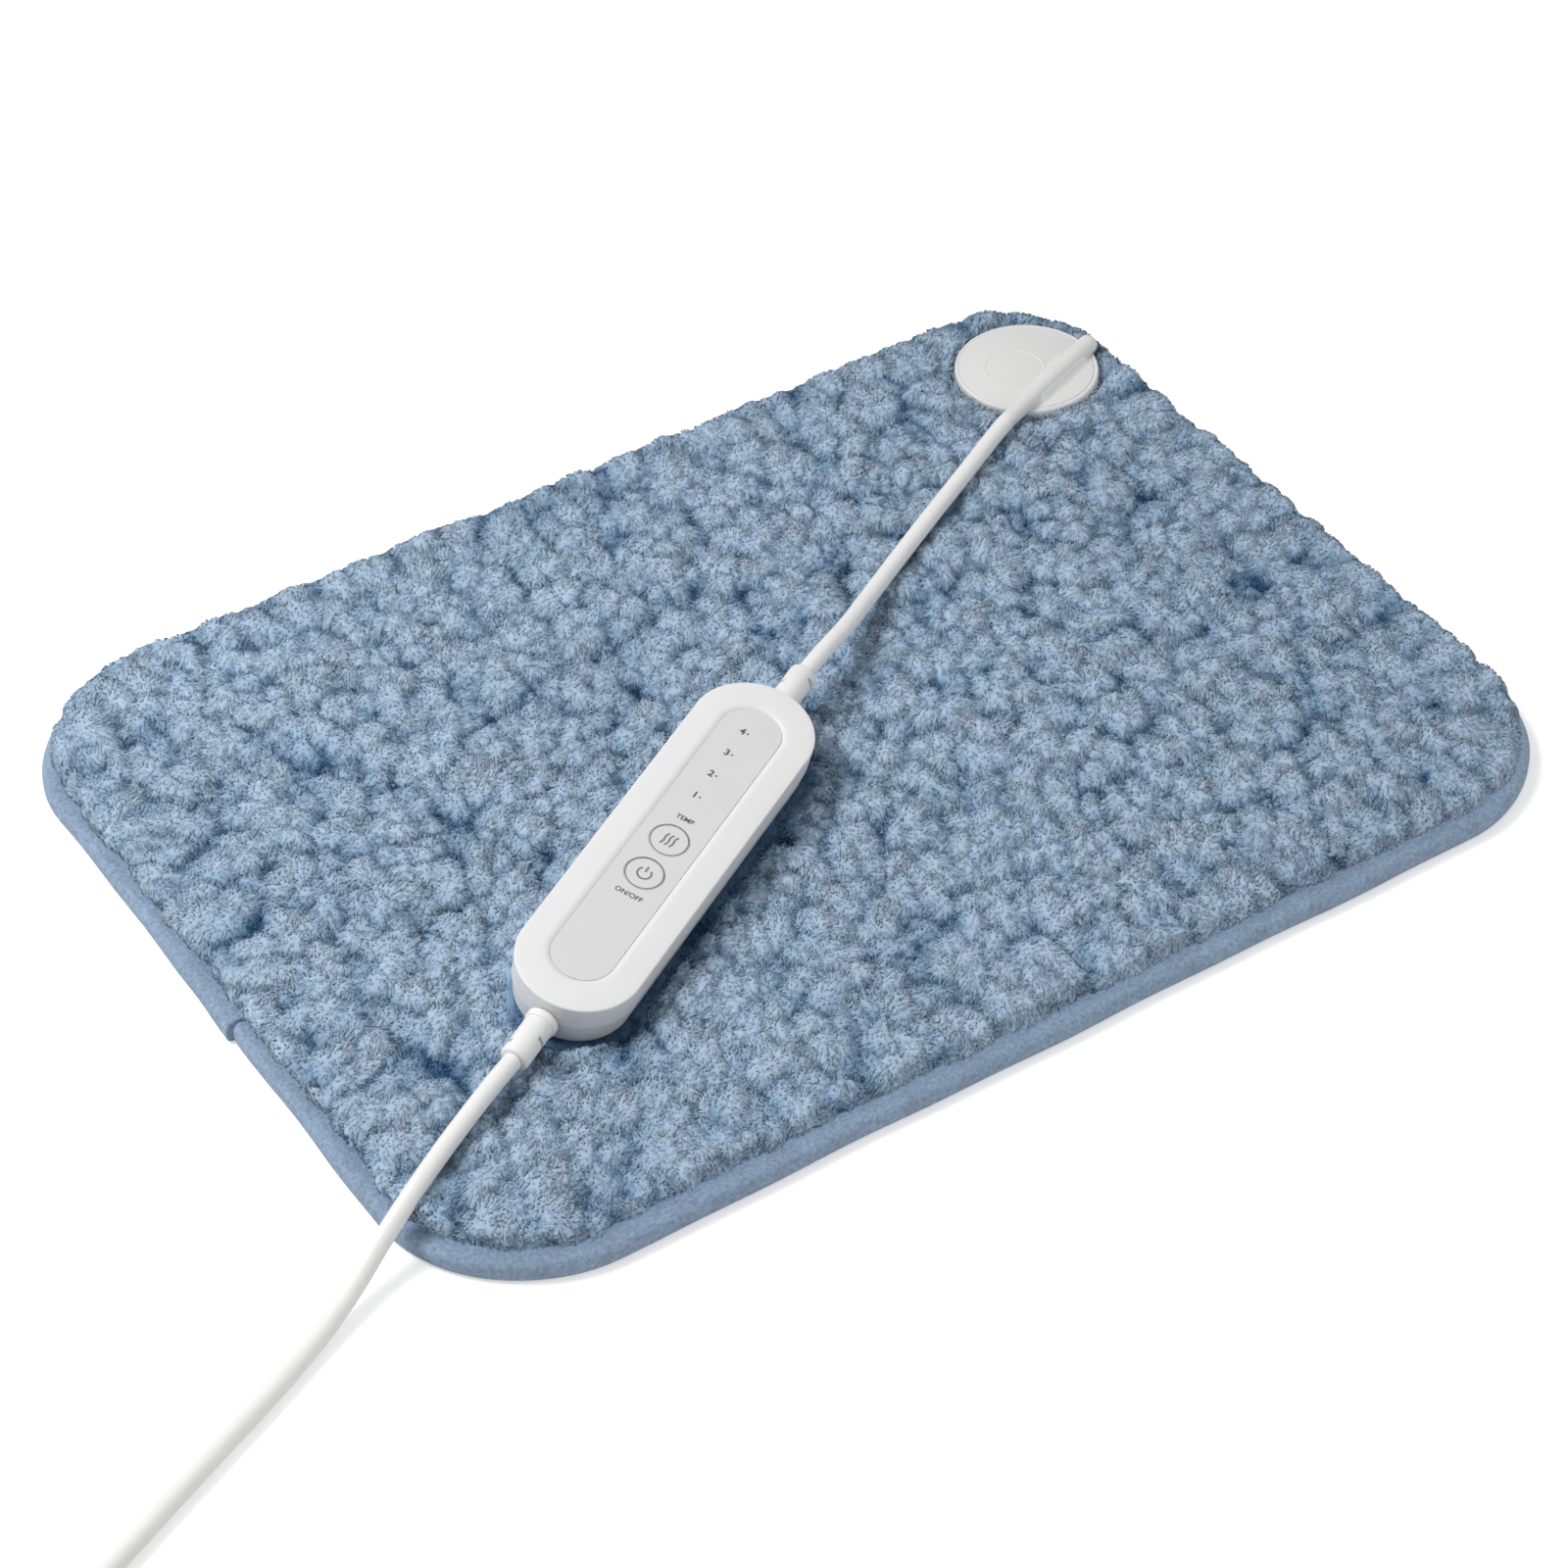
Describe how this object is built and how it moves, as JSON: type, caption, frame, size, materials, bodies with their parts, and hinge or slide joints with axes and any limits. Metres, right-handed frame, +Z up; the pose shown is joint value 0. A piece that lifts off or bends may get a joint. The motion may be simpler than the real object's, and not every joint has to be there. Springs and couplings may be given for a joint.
{
  "type": "heating pad with controller",
  "caption": "Plush electric heating pad with a taped edge, a pull-off round connector, a flat hand controller with push buttons, and a mains lead with plug.",
  "frame": {"origin": "on the resting surface under the middle of the pad, without its leads", "axes": "+X along the pad's long side towards the socket, +Y towards the far long edge, +Z up"},
  "size_m": [0.5766, 0.4867, 0.0374],
  "materials": {
    "plush": "long blue pile",
    "edge_tape": "short blue nap, folded over the edge",
    "backing": "plain blue woven cloth",
    "wadding": "white fibre fleece",
    "carrier": "thin pale non-woven",
    "heater_jacket": "silicone insulation",
    "sensor_glass": "glass bead",
    "dark_plastic": "moulded component case",
    "white_housing": "fine satin white",
    "white_jacket": "soft white cable jacket",
    "panel_film": "flat matt white panel",
    "board": "green board",
    "lamp_chip": "small light chip",
    "clear_guide": "clear light guide",
    "fuse_glass": "glass tube",
    "capacitor_box": "boxed film capacitor",
    "contact_brass": "plain",
    "screw_steel": "plated"
  },
  "bodies": {
    "pad": {"plush_cover": "plush", "edge_binding": "edge_tape", "backing_cover": "backing", "upper_wadding": "wadding", "lower_wadding": "wadding", "heater_carrier": "carrier", "heating_wire": "heater_jacket", "temperature_sensor": "sensor_glass", "overheat_cutout": "dark_plastic", "tact_switch_power": "dark_plastic", "tact_switch_temperature": "dark_plastic", "heater_triac": "dark_plastic", "mains_terminal": "dark_plastic", "pad_terminal": "dark_plastic", "socket_base": "white_housing", "socket_clamp_plate": "white_housing", "controller_top_shell": "white_housing", "controller_bottom_shell": "white_housing", "mains_cord_clamp": "white_housing", "pad_cord_clamp": "white_housing", "mains_strain_relief": "white_jacket", "pad_strain_relief": "white_jacket", "mains_cord_end": "white_jacket", "pad_cord_end": "white_jacket", "pad_cord": "white_jacket", "mains_cord": "white_jacket", "mains_cord_coil": "white_jacket", "mains_cord_tail": "white_jacket", "plug_body": "white_jacket", "coil_tie": "white_jacket", "control_panel": "panel_film", "circuit_board": "board", "step_light_1": "lamp_chip", "step_light_2": "lamp_chip", "step_light_3": "lamp_chip", "step_light_4": "lamp_chip", "light_guide": "clear_guide", "mains_fuse": "fuse_glass", "filter_capacitor": "capacitor_box", "socket_pin_1": "contact_brass", "socket_pin_2": "contact_brass", "socket_screw_1": "screw_steel", "socket_screw_2": "screw_steel", "shell_screw_1": "screw_steel", "shell_screw_2": "screw_steel", "shell_screw_3": "screw_steel", "shell_screw_4": "screw_steel", "plug_pin_1": "screw_steel", "plug_pin_2": "screw_steel"},
    "connector": {"connector_cap": "white_housing", "connector_base": "white_housing", "connector_contact_1": "contact_brass", "connector_contact_2": "contact_brass", "connector_screw_1": "screw_steel", "connector_screw_2": "screw_steel", "connector_strain_relief": "white_jacket"},
    "power_key": {"power_button": "panel_film", "tact_plunger_power": "white_housing"},
    "temperature_key": {"temperature_button": "panel_film", "tact_plunger_temperature": "white_housing"}
  },
  "joints": [
    {"name": "connector_lift", "type": "slide", "parent": "pad", "child": "connector", "axis": [0, 0, 1], "range_m": [0, 0.015]},
    {"name": "power_press", "type": "slide", "parent": "pad", "child": "power_key", "axis": [-0.0709, 0.1984, -0.9776], "range_m": [0, 0.0006], "stiffness_N_per_m": 400},
    {"name": "temperature_press", "type": "slide", "parent": "pad", "child": "temperature_key", "axis": [-0.0709, 0.1984, -0.9776], "range_m": [0, 0.0006], "stiffness_N_per_m": 400}
  ]
}
